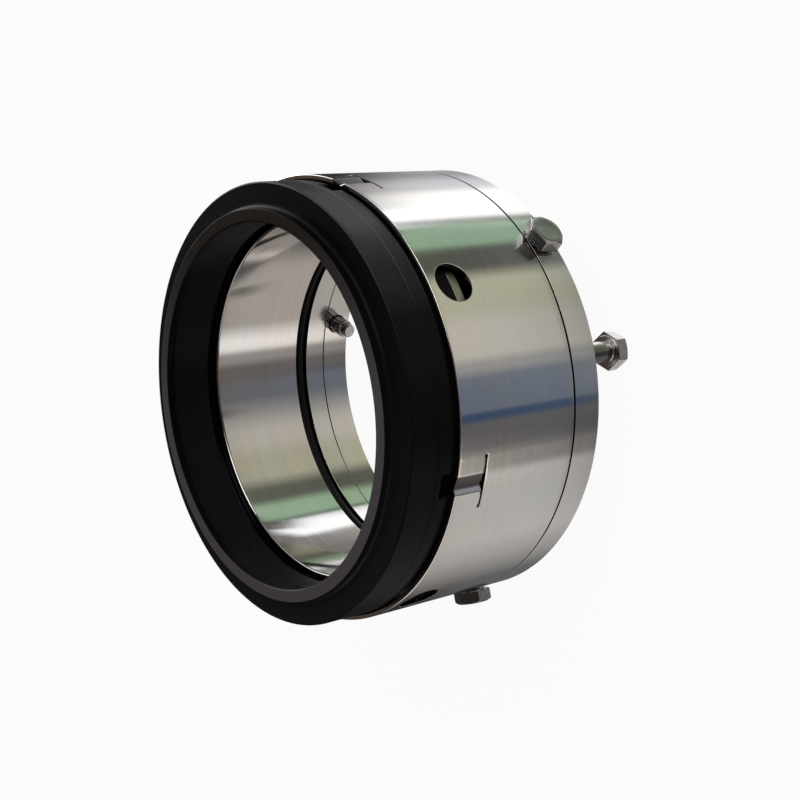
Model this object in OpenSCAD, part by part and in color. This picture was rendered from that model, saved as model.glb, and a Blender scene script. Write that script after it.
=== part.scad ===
// Rotary unit of a cartridge mechanical face seal, axis along Z, nose face up.
// The origin is on the axis, in the plane where the drive ring meets the housing.

/* [Shaft bore] */
// Diameter of the shaft bore in the housing
bore_d = 135; // [100:1:160]
// Radial wall of the inner sleeve
sleeve_wall = 3.9; // [3:0.1:5]

/* [Drive ring] */
// Axial thickness of the drive ring, behind the joint plane
drive_h = 13; // [12:0.5:16]
// How much wider the bore of the drive ring is than the housing's, in radius
drive_play = 0.6; // [0.5:0.05:0.9]
// Edge chamfer of the turned rings
edge_c = 0.6; // [0.3:0.1:1]
// Small chamfer on both sides of the joint line
joint_c = 0.25; // [0.1:0.05:0.4]

/* [Housing] */
// Height of the spring bed
bed_h = 23; // [20:0.5:26]
// Radial width of the spring chamber between the sleeve and the shell
chamber_w = 11.3; // [10.5:0.1:14]
// How far the sleeve's front end stands ahead of the shell's front edge
sleeve_lead = 0; // [-1:0.1:1]
// Fit clearance between the housing and the shell
shell_fit = 0.05; // [0.03:0.01:0.15]

/* [Shell] */
// Height of the shell
shell_h = 54.4; // [50:0.1:62]
// Sheet thickness of the shell
shell_wall = 1.8; // [1.2:0.1:2.2]
// Number of round windows
window_n = 4; // [2:1:4]
// Diameter of a window
window_d = 15; // [12:0.5:16]
// Distance of the window centres from the shell's front edge
window_drop = 10.9; // [10:0.1:14]
// Angle of the first window
window_a = 27.2; // [22:0.2:32]

/* [Drive lugs] */
// Number of pressed drive lugs
lug_n = 4; // [2:1:4]
// Angle of the first lug
lug_a = 69; // [64:0.5:74]
// Length of a lug, from its slit to the shell's front edge
lug_len = 12; // [10:0.1:14]
// Half width of the pressed groove at the shell's surface
lug_half = 3.9; // [3.2:0.1:4.6]
// Depth of the pressed groove
lug_depth = 3.2; // [2.6:0.1:3.6]
// Width of the slit behind a lug
slit_w = 1; // [0.6:0.1:1.4]
// Diameter of the round ends of the slit
slit_end_d = 1.5; // [1:0.1:2]
// Half angle of the slit
slit_a = 6.5; // [5:0.1:8]

/* [Face ring] */
// Radial gap between the shell and the face ring's full diameter
face_gap = 0.3; // [0.2:0.05:0.8]
// Radial gap between the shell and the face ring's tail inside it
tail_gap = 1.2; // [0.8:0.1:1.6]
// How far the step to the full diameter stands ahead of the shell
step_lead = 1.2; // [0.6:0.1:2]
// Height of the shoulder over the shell's front edge
shoulder_lead = 19.3; // [15:0.1:24]
// Height of the raised nose over the shoulder
nose_h = 4.05; // [3:0.05:6]
// Radial width of the sealing face
nose_w = 4.75; // [3.5:0.05:6.5]
// Radial clearance between the shaft and the nose
nose_play = 0.55; // [0.3:0.05:1.5]
// Axial length of the nose's inner land
nose_land = 2.8; // [1.5:0.1:4]
// How much the ring opens behind that land, in radius
waist_step = 1.35; // [0.5:0.05:2]
// Axial room between the sleeve's end and the ring's inner step
float_room = 3; // [2.8:0.1:4]
// Running clearance between the ring and the sleeve
ring_gap = 0.5; // [0.3:0.05:0.6]
// Fillet between the nose and the shoulder
cove_r = 1.8; // [1:0.1:2.5]
// Chamfer on the shoulder's outer edge
shoulder_c = 0.8; // [0.3:0.1:1.5]
// Chamfer on the edges of the nose
nose_c = 0.25; // [0.1:0.05:0.4]
// Clearance on each side of a lug in its notch
notch_side = 0.6; // [0.4:0.1:1]
// Radial clearance under a drive lug
notch_gap = 0.7; // [0.5:0.1:0.8]
// How far a notch runs ahead of the shell
notch_lead = 5.6; // [5.2:0.1:8]
// Radius of the cutter that ran out of the notch
cutter_r = 6; // [5:0.5:8]

/* [Thrust ring] */
// Thickness of the thrust ring
thrust_h = 3.8; // [3:0.1:4.5]
// Radial gap between the shell and the thrust ring
thrust_play = 1.6; // [1:0.1:2]
// Gap between the thrust ring and the rear end of the lugs
thrust_gap = 0.3; // [0.2:0.05:0.5]

/* [Springs] */
// Number of coil springs
spring_n = 12; // [6:1:12]
// Angle of the first spring
spring_a = 12.2; // [8:0.2:14]
// Outer diameter of a coil
coil_d = 7.2; // [6:0.1:8]
// Wire diameter of a spring
wire_d = 0.9; // [0.7:0.1:1.1]
// Number of turns of a spring
coil_turns = 7; // [5:1:8]
// Radial clearance between a coil and its pocket
pocket_gap = 0.5; // [0.4:0.05:0.6]
// Depth of a spring pocket
pocket_depth = 8.4; // [6:0.1:10]
// Gap at each end of a spring
spring_gap = 0.15; // [0.1:0.05:0.3]

/* [Rubber rings] */
// Thickness of the shaft ring's section
shaft_ring_d = 4.6; // [4:0.1:4.8]
// Distance of that ring's groove from the joint plane, to its middle
groove_z = 11.7; // [9:0.1:14]
// Width of that groove
groove_w = 5.4; // [5.2:0.1:6.5]
// How far the shaft ring stays back from the bore
shaft_ring_gap = 0.1; // [0.05:0.05:0.3]
// Thickness of the face ring's rubber ring
face_cord_d = 5; // [4.5:0.1:5.2]
// Free play around the rubber rings
rubber_gap = 0.3; // [0.2:0.05:0.3]

/* [Hex head screws] */
// Nominal thread diameter
screw_d = 8; // [6:0.5:8.5]
// Clearance of a screw in its hole
screw_gap = 0.2; // [0.1:0.05:0.3]
// Width across the flats of a head
head_af = 13; // [10:0.5:14]
// Height of a head
head_h = 5.3; // [4:0.1:6]
// Number of radial set screws
set_n = 3; // [2:1:3]
// Angle of the first set screw
set_a = 37; // [33:0.5:40]
// Angle of a set screw's head about its own axis
set_turn = 5; // [0:1:60]
// Gap under the head of a set screw
set_lift = 0.7; // [0.3:0.1:2]
// How far a set screw's point stands into the bore
set_reach = 9.2; // [4:0.1:10]
// Diameter of a set screw's point
point_d = 5.6; // [4:0.1:5.8]
// Length of that point
point_h = 3; // [2:0.1:4]
// Number of axial screws
axial_n = 3; // [2:1:3]
// Angle of the first axial screw
axial_a = 5.8; // [0:0.2:12]
// Angle of an axial screw's head about its own axis
axial_turn = 33.5; // [0:0.5:60]
// Length of shank left free under an axial screw's head
axial_free = 13.3; // [6:0.1:20]
// Depth of an axial screw in the housing
axial_depth = 8.5; // [5:0.5:10]

/* [Drive pins] */
// Number of drive pins
pin_n = 3; // [2:1:3]
// Diameter of a drive pin
pin_d = 5; // [4:0.5:6]
// Angle of the first drive pin
pin_a = 66; // [60:1:72]
// Depth of a pin in each of the two rings
pin_depth = 8; // [5:0.5:10]
// Clearance of a pin in its hole
pin_gap = 0.1; // [0.05:0.05:0.2]

/* [Hidden] */
$fn = 96;
reach = 1;
full = 360;

steel = [0.66, 0.66, 0.64];
screw_steel = [0.55, 0.52, 0.49];
carbide = [0.13, 0.13, 0.14];
rubber = [0.06, 0.06, 0.06];
spring_steel = [0.6, 0.6, 0.58];

// Radii, from the shaft outwards
bore_r = bore_d / 2;
sleeve_r = bore_r + sleeve_wall;
shell_in = sleeve_r + chamber_w;
shell_r = shell_in + shell_wall;
bed_r = shell_in - shell_fit;
chamber_r = sleeve_r + chamber_w / 2;
nose_in = bore_r + nose_play;
nose_r = nose_in + nose_w;
waist_r = nose_in + waist_step;
over_sleeve = sleeve_r + ring_gap;
face_r = shell_in - face_gap;
tail_r = shell_in - tail_gap;
thrust_r = shell_in - thrust_play;
lug_in = shell_in - lug_depth;
notch_r = lug_in - notch_gap;

// Heights, from the joint plane forwards
sleeve_top = shell_h + sleeve_lead;
lug_z = shell_h - lug_len;
window_z = shell_h - window_drop;
thrust_top = lug_z - thrust_gap;
thrust_z = thrust_top - thrust_h;
step_z = shell_h + step_lead;
shoulder_z = shell_h + shoulder_lead;
nose_z = shoulder_z + nose_h;
waist_z = sleeve_top + float_room;
notch_z = shell_h + notch_lead;
cutter_z = notch_z - sqrt(pow(cutter_r, 2) - pow(notch_r + cutter_r - face_r, 2));
pocket_z = bed_h - pocket_depth;
spring_z = pocket_z + spring_gap;
spring_h = thrust_z - spring_gap - spring_z;
set_z = -drive_h / 2;

// Lugs and notches
lug_flank = shell_wall / 2;
lug_lap = 0.3;
lug_lay = 0.03;
notch_w = 2 * (lug_half + notch_side);

// Rubber rings and their grooves
cord_r = face_cord_d / 2;
cord_c = sleeve_r + rubber_gap + cord_r;
seat_r = cord_c + cord_r + rubber_gap / 2;
seat_h = face_cord_d + rubber_gap;
groove_r = bore_r + shaft_ring_gap + shaft_ring_d + rubber_gap / 2;

// Screws, pins and springs
pocket_d = coil_d + 2 * pocket_gap;
head_r = head_af / sqrt(3);
flat_share = 0.95;
head_flat = flat_share * head_af / 2;
head_slope = 30;
hole_d = screw_d + 2 * screw_gap;
tip_c = 0.8;
coil_steps = 8;
wire_sides = 6;

// Copies of a feature at equal angles around the axis
module around(n, first) {
    for (i = [0:n - 1])
        rotate([0, 0, first + i * full / n])
            children();
}

// A turned ring with chamfered edges
module ring(r_out, r_in, z0, z1, c_out0, c_out1, c_in) {
    rotate_extrude()
        polygon([
            [r_in + c_in, z0],
            [r_out - c_out0, z0],
            [r_out, z0 + c_out0],
            [r_out, z1 - c_out1],
            [r_out - c_out1, z1],
            [r_in + c_in, z1],
            [r_in, z1 - c_in],
            [r_in, z0 + c_in]
        ]);
}

// A rubber ring with a round section
module cord_ring(centre_r, section_d, z) {
    rotate_extrude()
        translate([centre_r, z])
            circle(d = section_d);
}

// A hexagon head with its outer corners turned off, seat at 0, growing along Z
module hex_head(turn) {
    intersection() {
        rotate([0, 0, turn])
            cylinder(r = head_r, h = head_h, $fn = 6);
        rotate_extrude()
            polygon([
                [0, 0],
                [head_r + reach, 0],
                [head_r + reach, head_h - (head_r + reach - head_flat) * tan(head_slope)],
                [head_flat, head_h],
                [0, head_h]
            ]);
    }
}

// A screw with its head seat at 0, the shank running down to -len
module hex_screw(len, turn, end_d, end_h) {
    hex_head(turn);
    rotate_extrude()
        polygon([
            [0, head_h / 2],
            [screw_d / 2, head_h / 2],
            [screw_d / 2, -len + end_h + tip_c],
            [end_d / 2, -len + end_h],
            [end_d / 2, -len + tip_c / 2],
            [end_d / 2 - tip_c / 2, -len],
            [0, -len]
        ]);
}

// Depth share of the pressed groove at the place u, where 1 is its border
function press(u) = abs(u) >= 1 ? 0 : 0.5 + 0.5 * cos(180 * u);

// Outline of a pressed lug, seen along Z, with the shell's surface along Y
function lug_outline(steps = 16) =
    let(w = lug_half + lug_flank, e = w + lug_lap)
    concat(
        [for (i = [0:steps])
            let(x = -e + 2 * e * i / steps)
            [x, sqrt(pow(shell_r, 2) - x * x) - lug_lay - lug_depth * press(x / lug_half)]],
        [for (i = [steps:-1:0])
            let(x = -e + 2 * e * i / steps)
            [x, sqrt(pow(shell_in, 2) - x * x) + lug_lay - lug_depth * press(x / w)]]
    );

// Centre line of a coil spring, with closed turns at both ends
function coil_rise(t) =
    let(flat = 1 / coil_turns, slope = wire_d / (spring_h - wire_d))
    t < flat ? slope * t / flat
    : t > 1 - flat ? 1 - slope * (1 - t) / flat
    : slope + (1 - 2 * slope) * (t - flat) / (1 - 2 * flat);

function coil_point(t, side) =
    let(a = full * coil_turns * t, s = full * side / wire_sides,
        r = coil_d / 2 - wire_d / 2 + wire_d / 2 * cos(s))
    [r * cos(a), r * sin(a), wire_d / 2 + (spring_h - wire_d) * coil_rise(t) + wire_d / 2 * sin(s)];

// One coil spring standing on the ground plane
module coil() {
    rows = coil_turns * coil_steps;
    points = [for (i = [0:rows]) for (s = [0:wire_sides - 1]) coil_point(i / rows, s)];
    sides = [for (i = [0:rows - 1]) for (s = [0:wire_sides - 1]) for (half = [0, 1])
        let(n = (s + 1) % wire_sides, b = i * wire_sides, c = b + wire_sides)
        half == 0 ? [b + s, c + s, c + n] : [b + s, c + n, b + n]];
    ends = [
        [for (s = [0:wire_sides - 1]) s],
        [for (s = [wire_sides - 1:-1:0]) rows * wire_sides + s]
    ];
    polyhedron(points, concat(sides, ends));
}

// Ring clamped to the shaft, behind the housing
module drive_ring() {
    color(steel)
    difference() {
        ring(shell_r, bore_r + drive_play, -drive_h, 0, edge_c, joint_c, joint_c);
        around(set_n, set_a)
            translate([bore_r - 2 * reach, 0, set_z])
                rotate([0, 90, 0])
                    cylinder(d = hole_d, h = shell_r - bore_r + 4 * reach);
        around(axial_n, axial_a)
            translate([chamber_r, 0, -drive_h - reach])
                cylinder(d = hole_d, h = drive_h + 2 * reach);
        around(pin_n, pin_a)
            translate([chamber_r, 0, -pin_depth])
                cylinder(d = pin_d + 2 * pin_gap, h = pin_depth + reach);
    }
}

// Spring bed and inner sleeve, turned from one piece
module housing() {
    color(steel)
    difference() {
        rotate_extrude()
            polygon([
                [bore_r, 0],
                [bed_r - joint_c, 0],
                [bed_r, joint_c],
                [bed_r, bed_h - joint_c],
                [bed_r - joint_c, bed_h],
                [sleeve_r, bed_h],
                [sleeve_r, sleeve_top - joint_c],
                [sleeve_r - joint_c, sleeve_top],
                [bore_r + joint_c, sleeve_top],
                [bore_r, sleeve_top - joint_c]
            ]);
        translate([0, 0, groove_z - groove_w / 2])
            cylinder(r = groove_r, h = groove_w);
        around(spring_n, spring_a)
            translate([chamber_r, 0, pocket_z])
                cylinder(d = pocket_d, h = pocket_depth + reach);
        around(axial_n, axial_a)
            translate([chamber_r, 0, -reach])
                cylinder(d = hole_d, h = axial_depth + reach + screw_gap);
        around(pin_n, pin_a)
            translate([chamber_r, 0, -reach])
                cylinder(d = pin_d + 2 * pin_gap, h = pin_depth + reach + pin_gap);
    }
}

// Thin outer shell with windows and pressed lugs
module shell() {
    color(steel)
    union() {
        difference() {
            ring(shell_r, shell_in, 0, shell_h, joint_c, joint_c, joint_c);
            around(window_n, window_a)
                translate([shell_in - 2 * reach, 0, window_z])
                    rotate([0, 90, 0])
                        cylinder(d = window_d, h = shell_wall + 4 * reach);
            around(lug_n, lug_a)
                lug_opening();
        }
        around(lug_n, lug_a)
            rotate([0, 0, -90])
                translate([0, 0, lug_z + lug_lay])
                    linear_extrude(shell_h - joint_c - lug_z - lug_lay)
                        polygon(lug_outline());
    }
}

// What is cut from the shell for one lug: the slit and the strip that is pressed in
module lug_opening() {
    w = lug_half + lug_flank;
    translate([shell_in - 3 * reach, -w, lug_z - slit_w / 2])
        cube([shell_wall + 5 * reach, 2 * w, shell_h - lug_z + slit_w / 2 + reach]);
    rotate([0, 0, -slit_a])
        rotate_extrude(angle = 2 * slit_a)
            translate([shell_in - reach, lug_z - slit_w])
                square([shell_wall + 2 * reach, slit_w]);
    for (side = [-1, 1])
        rotate([0, 0, side * slit_a])
            translate([shell_in - reach, 0, lug_z - slit_w / 2])
                rotate([0, 90, 0])
                    cylinder(d = slit_end_d, h = shell_wall + 2 * reach);
}

// Rubber ring that seals the housing on the shaft
module shaft_o_ring() {
    color(rubber)
        cord_ring(bore_r + shaft_ring_gap + shaft_ring_d / 2, shaft_ring_d, groove_z);
}

// Ring that spreads the spring load, held back by the lugs
module thrust_ring() {
    color(steel)
        ring(thrust_r, over_sleeve, thrust_z, thrust_top, joint_c, joint_c, joint_c);
}

// Rubber ring between the sleeve and the face ring
module face_o_ring() {
    color(rubber)
        cord_ring(cord_c, face_cord_d, thrust_top + cord_r + rubber_gap / 2);
}

// Hard face ring with its raised nose, driven by the lugs in four notches
module face_ring() {
    color(carbide)
    difference() {
        rotate_extrude()
            polygon(concat(
                [
                    [seat_r, thrust_top],
                    [tail_r - edge_c, thrust_top],
                    [tail_r, thrust_top + edge_c],
                    [tail_r, step_z - joint_c],
                    [face_r - joint_c, step_z],
                    [face_r, step_z + joint_c],
                    [face_r, shoulder_z - shoulder_c],
                    [face_r - shoulder_c, shoulder_z]
                ],
                [for (a = [270:-15:180])
                    [nose_r + cove_r + cove_r * cos(a), shoulder_z + cove_r + cove_r * sin(a)]],
                [
                    [nose_r, nose_z - nose_c],
                    [nose_r - nose_c, nose_z],
                    [nose_in + nose_c, nose_z],
                    [nose_in, nose_z - nose_c],
                    [nose_in, nose_z - nose_land],
                    [waist_r, nose_z - nose_land - (waist_r - nose_in)],
                    [waist_r, waist_z],
                    [over_sleeve, waist_z],
                    [over_sleeve, thrust_top + seat_h],
                    [seat_r, thrust_top + seat_h]
                ]
            ));
        around(lug_n, lug_a)
            drive_notch();
    }
}

// Notch that slides along one lug, with the round run-out of its cutter
module drive_notch() {
    translate([notch_r, -notch_w / 2, thrust_top - reach])
        cube([face_r - notch_r + reach, notch_w, cutter_z - thrust_top + reach]);
    translate([notch_r + cutter_r, notch_w / 2, cutter_z])
        rotate([90, 0, 0])
            cylinder(r = cutter_r, h = notch_w);
}

module spring(i) {
    if (i <= spring_n)
        color(spring_steel)
            rotate([0, 0, spring_a + (i - 1) * full / spring_n])
                translate([chamber_r, 0, spring_z])
                    coil();
}

module set_screw(i) {
    if (i <= set_n)
        color(screw_steel)
            rotate([0, 0, set_a + (i - 1) * full / set_n])
                translate([shell_r + set_lift, 0, set_z])
                    rotate([0, 90, 0])
                        hex_screw(shell_r + set_lift - bore_r + set_reach, set_turn, point_d, point_h);
}

module axial_screw(i) {
    if (i <= axial_n)
        color(screw_steel)
            rotate([0, 0, axial_a + (i - 1) * full / axial_n])
                translate([chamber_r, 0, -drive_h - axial_free])
                    rotate([180, 0, 0])
                        hex_screw(axial_free + drive_h + axial_depth, axial_turn, screw_d - 2 * tip_c, tip_c);
}

module drive_pin(i) {
    if (i <= pin_n)
        color(steel)
            rotate([0, 0, pin_a + (i - 1) * full / pin_n])
                translate([chamber_r, 0, -pin_depth])
                    cylinder(d = pin_d, h = 2 * pin_depth);
}

drive_ring();
housing();
shell();
shaft_o_ring();
thrust_ring();
face_o_ring();
face_ring();
spring(1);  // spring_01
spring(2);  // spring_02
spring(3);  // spring_03
spring(4);  // spring_04
spring(5);  // spring_05
spring(6);  // spring_06
spring(7);  // spring_07
spring(8);  // spring_08
spring(9);  // spring_09
spring(10);  // spring_10
spring(11);  // spring_11
spring(12);  // spring_12
set_screw(1);  // set_screw_1
set_screw(2);  // set_screw_2
set_screw(3);  // set_screw_3
axial_screw(1);  // axial_screw_1
axial_screw(2);  // axial_screw_2
axial_screw(3);  // axial_screw_3
drive_pin(1);  // drive_pin_1
drive_pin(2);  // drive_pin_2
drive_pin(3);  // drive_pin_3
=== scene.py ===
import math

import bmesh
import bpy
from mathutils import Matrix, Vector


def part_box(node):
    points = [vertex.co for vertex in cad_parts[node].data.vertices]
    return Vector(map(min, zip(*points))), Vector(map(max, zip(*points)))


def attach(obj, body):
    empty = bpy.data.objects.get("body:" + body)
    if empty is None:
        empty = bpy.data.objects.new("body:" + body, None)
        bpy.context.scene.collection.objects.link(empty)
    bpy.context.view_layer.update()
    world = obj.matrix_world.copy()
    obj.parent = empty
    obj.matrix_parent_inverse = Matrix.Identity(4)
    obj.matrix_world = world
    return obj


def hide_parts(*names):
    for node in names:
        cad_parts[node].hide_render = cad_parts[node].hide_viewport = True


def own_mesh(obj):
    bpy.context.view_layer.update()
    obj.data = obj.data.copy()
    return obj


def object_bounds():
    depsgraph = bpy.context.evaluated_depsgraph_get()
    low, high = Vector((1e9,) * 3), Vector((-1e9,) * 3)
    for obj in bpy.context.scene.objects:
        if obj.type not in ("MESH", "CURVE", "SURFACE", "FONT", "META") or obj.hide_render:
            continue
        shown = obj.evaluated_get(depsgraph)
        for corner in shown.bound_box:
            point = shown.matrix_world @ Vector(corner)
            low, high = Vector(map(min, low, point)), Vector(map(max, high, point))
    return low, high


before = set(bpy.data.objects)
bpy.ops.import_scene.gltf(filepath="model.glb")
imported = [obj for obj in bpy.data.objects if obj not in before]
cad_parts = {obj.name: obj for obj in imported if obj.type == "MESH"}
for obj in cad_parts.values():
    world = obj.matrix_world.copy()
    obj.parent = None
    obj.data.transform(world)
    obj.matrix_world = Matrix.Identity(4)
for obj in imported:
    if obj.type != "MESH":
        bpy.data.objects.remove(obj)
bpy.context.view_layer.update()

MM = 0.001
FULL = 2 * math.pi


def high(node):
    """Highest corner of a CAD node, in millimetres."""
    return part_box(node)[1] / MM


def low(node):
    """Lowest corner of a CAD node, in millimetres."""
    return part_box(node)[0] / MM


# Sizes that the frame gives, in millimetres
SHELL_R = high("shell").x
SHELL_TOP = high("shell").z
BED_R = high("housing").x
SLEEVE_TOP = high("housing").z
DRIVE_BACK = low("drive_ring").z
FACE_R = high("face_ring").x
FACE_BACK = low("face_ring").z
NOSE_TOP = high("face_ring").z
SHAFT_RING_OUT = high("shaft_o_ring").x
SHAFT_RING_Z = (high("shaft_o_ring").z + low("shaft_o_ring").z) / 2
FACE_CORD_OUT = high("face_o_ring").x
FACE_CORD_Z = (high("face_o_ring").z + low("face_o_ring").z) / 2
AXIAL_END_Z = low("axial_screw_1").z

# Radii of the turned parts
BORE_R = 67.5
DRIVE_BORE_R = 68.1
SLEEVE_R = 71.4
SHELL_IN = 82.7
CHAMBER_R = 77.05
NOSE_IN = 68.05
NOSE_R = 72.8
WAIST_R = 69.4
OVER_SLEEVE = 71.9
SEAT_R = 76.85
TAIL_R = 81.5
GROOVE_R = 72.35
NOTCH_FLOOR = 78.8

# Thickness of the rubber rings
SHAFT_CORD = 4.6
FACE_CORD = 5

# Heights over the joint plane
BED_TOP = 23
GROOVE_LOW = 9
GROOVE_HIGH = 14.4
STEP_Z = 55.6
SHOULDER_Z = 73.7
WAIST_Z = 57.4
WAIST_TOP = 73.6
NOSE_STEP_Z = 74.95
SEAT_TOP = 47.4
MARK_Z = 61.8
NOTCH_Z = 60
WINDOW_Z = 43.5
SLIT_LOW = 41.55
SLIT_HIGH = 42.25

# Repeated features, with the angle of the first in degrees
QUARTERS = 4
THIRDS = 3
SPRINGS = 12
WINDOW_A = 27.2
LUG_A = 69
SPRING_A = 12.2
SET_A = 37
AXIAL_A = 5.8
PIN_A = 66

# Windows, lugs and slits of the shell, and the ring's notches for the lugs
WINDOW_R = 7.5
WINDOW_ZONE = 9.5
LUG_HALF = 3.5
LUG_FLANK = 0.9
LUG_DEPTH = 1.15
LUG_SECTION = [(-1, 0), (-0.5, 0.9), (-0.42, 1), (-0.3, 0.95), (0.85, 0.12), (1, 0)]
SLIT_A = 6.5
SLIT_END_R = 0.5
SLIT_TIP = 0.15
RIM_ROUND = 0.42
SHELL_EDGE = 0.16
LUG_ZONE_R = 80
AWAY_FROM_LUG = math.radians(30)
NOTCH_W = 9
CUTTER_R = 6

# Screws, pins and springs
SCREW_R = 4
HOLE_R = 4.2
PIN_HOLE_R = 2.6
PIN_DEPTH = 8
POCKET_R = 4.1
POCKET_Z = 14.6
AXIAL_HOLE_TOP = 8.7
HEAD_AF = 13
HEAD_H = 5.3
HEAD_FLAT = 6.175
HEAD_SLOPE = math.radians(30)
SET_Z = -6.5
SET_SEAT_R = 85.2
SET_LEN = 26.9
SET_TURNS = (-5, 5, -10)
AXIAL_LEN = 34.8
AXIAL_PLAIN = 13
AXIAL_SEAT_Z = AXIAL_END_Z + HEAD_H
AXIAL_TURN = 33.5
POINT_R = 2.8
POINT_H = 3
PITCH = 1.25
PLAIN_R = 3.7
PLAIN_LEN = 11
CREST_R = 3.95
ROOT_R = 3.25
COIL_R = 3.6
WIRE_R = 0.45
COIL_TURNS = 7
SPRING_LOW = 14.75
SPRING_HIGH = 38.15

# Fineness of the meshes, and how far a cutter reaches past what it cuts
COLUMNS = 720
CORNER_STEPS = 4
ROD_SIDES = 96
REACH = 1

# Relief at the joint between the housing and the rear ring
JOINT_GAP = 0.8
JOINT_DEPTH = 3.2

# Steels: darkest and brightest colour, then the tints and the painted shade on them
STEEL = ((0.63, 0.62, 0.605), (0.745, 0.74, 0.725))
BORE_STEEL = ((0.61, 0.59, 0.575), (0.735, 0.72, 0.705))
# The thrust ring's steel is a darker copy of the turned steel: painted shade for the chamber behind the
# windows
THRUST_STEEL_SHADED = ((0.30, 0.30, 0.27), (0.40, 0.40, 0.36))
# The set screws' steel is a darker copy of the screw steel: painted shade for their dark faces
SET_STEEL_SHADED = ((0.37, 0.355, 0.345), (0.50, 0.49, 0.475))
AXIAL_STEEL = ((0.47, 0.45, 0.43), (0.62, 0.605, 0.59))
WIRE_STEEL = ((0.5, 0.5, 0.49), (0.64, 0.64, 0.62))
TINT_WARM = (1.0, 0.968, 0.935)
TINT_COOL = (0.945, 0.975, 1.0)
# Painted shade in the narrow relief at the joint
JOINT_PAINTED_SHADE = (0.02, 0.018, 0.017)
# Painted shade on one flank of each pressed lug
LUG_FLANK_SHADE = (0.055, 0.048, 0.044)
# Painted shade on the cut walls of the shell's windows
WINDOW_WALL_SHADE = (0.05, 0.048, 0.046)
# Painted shade on the axial screws' shanks, and the heights on Y over which it gives way to their lit top
SHANK_SHADE = (0.17, 0.16, 0.15)
SHANK_SHADE_Y = (9.4 * MM, 10.4 * MM)

# Black ring: colours of its zones, and the heights on Y between which they change; these changes paint a
# sheen on the top of the outside and on the lower nose face, a highlight on the tool mark, and shade on
# the top of the shoulder
RING_OUTSIDE_BARE = ((0.0035, 0.0034, 0.0038), (0.0055, 0.0053, 0.0058))
# Painted sheen on the top of the ring's outside
RING_TOP_SHEEN = ((0.046, 0.044, 0.048), (0.068, 0.065, 0.071))
# Painted shade: the shoulder is darker towards the top
RING_SHOULDER = ((0.003, 0.003, 0.0032), (0.0095, 0.0088, 0.0095))
RING_WAIST = ((0.006, 0.006, 0.0072), (0.009, 0.0088, 0.0102))
# Painted sheen: the lapped nose face's brownish tone is lighter towards the bottom
RING_FACE = ((0.014, 0.011, 0.0095), (0.064, 0.056, 0.061))
RING_NOSE_WALL = (0.0025, 0.0024, 0.0026)
RING_SEAT = (0.002, 0.002, 0.0022)
RING_DUST = (0.2, 0.19, 0.185)
# Painted highlight on the tool mark
MARK_SHINE = (0.24, 0.235, 0.25)
TOP_SHEEN_Y = (0.028, 0.076)
MARK_Y = (0.03, 0.075)
SHOULDER_SHADE_Y = (-0.06, 0.06)
FACE_SHEEN_Y = (0.002, 0.06)

# Rubber: bare, bloomed and dusty
RUBBER = ((0.003, 0.003, 0.003), (0.007, 0.007, 0.0075))
RUBBER_DUST = (0.1, 0.1, 0.1)


# Meshes

def new_piece(name, points, faces, place=None):
    """A closed mesh object from points in millimetres, moved to its place."""
    mesh = bpy.data.meshes.new(name)
    mesh.from_pydata([Vector(p) for p in points], [], faces)
    if place:
        mesh.transform(place)
    mesh.transform(Matrix.Scale(MM, 4))
    work = bmesh.new()
    work.from_mesh(mesh)
    bmesh.ops.remove_doubles(work, verts=work.verts, dist=1e-7)
    bmesh.ops.dissolve_degenerate(work, edges=work.edges, dist=1e-7)
    bmesh.ops.recalc_face_normals(work, faces=work.faces)
    work.to_mesh(mesh)
    work.free()
    piece = bpy.data.objects.new(name, mesh)
    bpy.context.scene.collection.objects.link(piece)
    return piece


def rounded(corners, steps=CORNER_STEPS):
    """Closed outline whose corners (x, y, radius) are turned into arcs."""
    outline = []
    for i, (x, y, radius) in enumerate(corners):
        here = Vector((x, y))
        if not radius:
            outline.append(here)
            continue
        back = (Vector(corners[i - 1][:2]) - here).normalized()
        ahead = (Vector(corners[(i + 1) % len(corners)][:2]) - here).normalized()
        half = back.angle(ahead) / 2
        centre = here + (back + ahead).normalized() * radius / math.sin(half)
        first = here + back * radius / math.tan(half) - centre
        last = here + ahead * radius / math.tan(half) - centre
        turn = math.atan2(first.cross(last), first.dot(last))
        outline += [centre + Matrix.Rotation(turn * k / steps, 2) @ first for k in range(steps + 1)]
    return outline


def circle(centre_x, centre_y, radius, steps):
    """Points of a circle, counterclockwise."""
    turns = [FULL * i / steps for i in range(steps)]
    return [Vector((centre_x + radius * math.cos(a), centre_y + radius * math.sin(a))) for a in turns]


def turned(name, outline, columns=COLUMNS, place=None):
    """A solid of revolution about Z from a counterclockwise outline of (radius, height)."""
    rows = len(outline)
    points, faces = [], []
    for c in range(columns):
        angle = FULL * c / columns
        points += [(r * math.cos(angle), r * math.sin(angle), z) for r, z in outline]
    for c in range(columns):
        here, there = c * rows, (c + 1) % columns * rows
        for i in range(rows):
            j = (i + 1) % rows
            if outline[i].x or outline[j].x:
                faces.append((here + i, there + i, there + j, here + j))
    return new_piece(name, points, faces, place)


def rod(radius, start, end, place):
    """A plain round rod along Z, used as a cutter."""
    outline = [Vector(p) for p in ((0, start), (radius, start), (radius, end), (0, end))]
    return turned("cutter", outline, ROD_SIDES, place)


def block(lows, highs, place):
    """A plain block, used as a cutter."""
    xs, ys, zs = zip(lows, highs)
    corners = [(x, y, z) for x in xs for y in ys for z in zs]
    faces = [(0, 1, 3, 2), (4, 6, 7, 5), (0, 4, 5, 1), (2, 3, 7, 6), (0, 2, 6, 4), (1, 5, 7, 3)]
    return new_piece("cutter", corners, faces, place)


def around(count, first):
    """Turns about Z at equal angles, the first in degrees."""
    return [Matrix.Rotation(math.radians(first) + FULL * i / count, 4, "Z") for i in range(count)]


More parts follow.
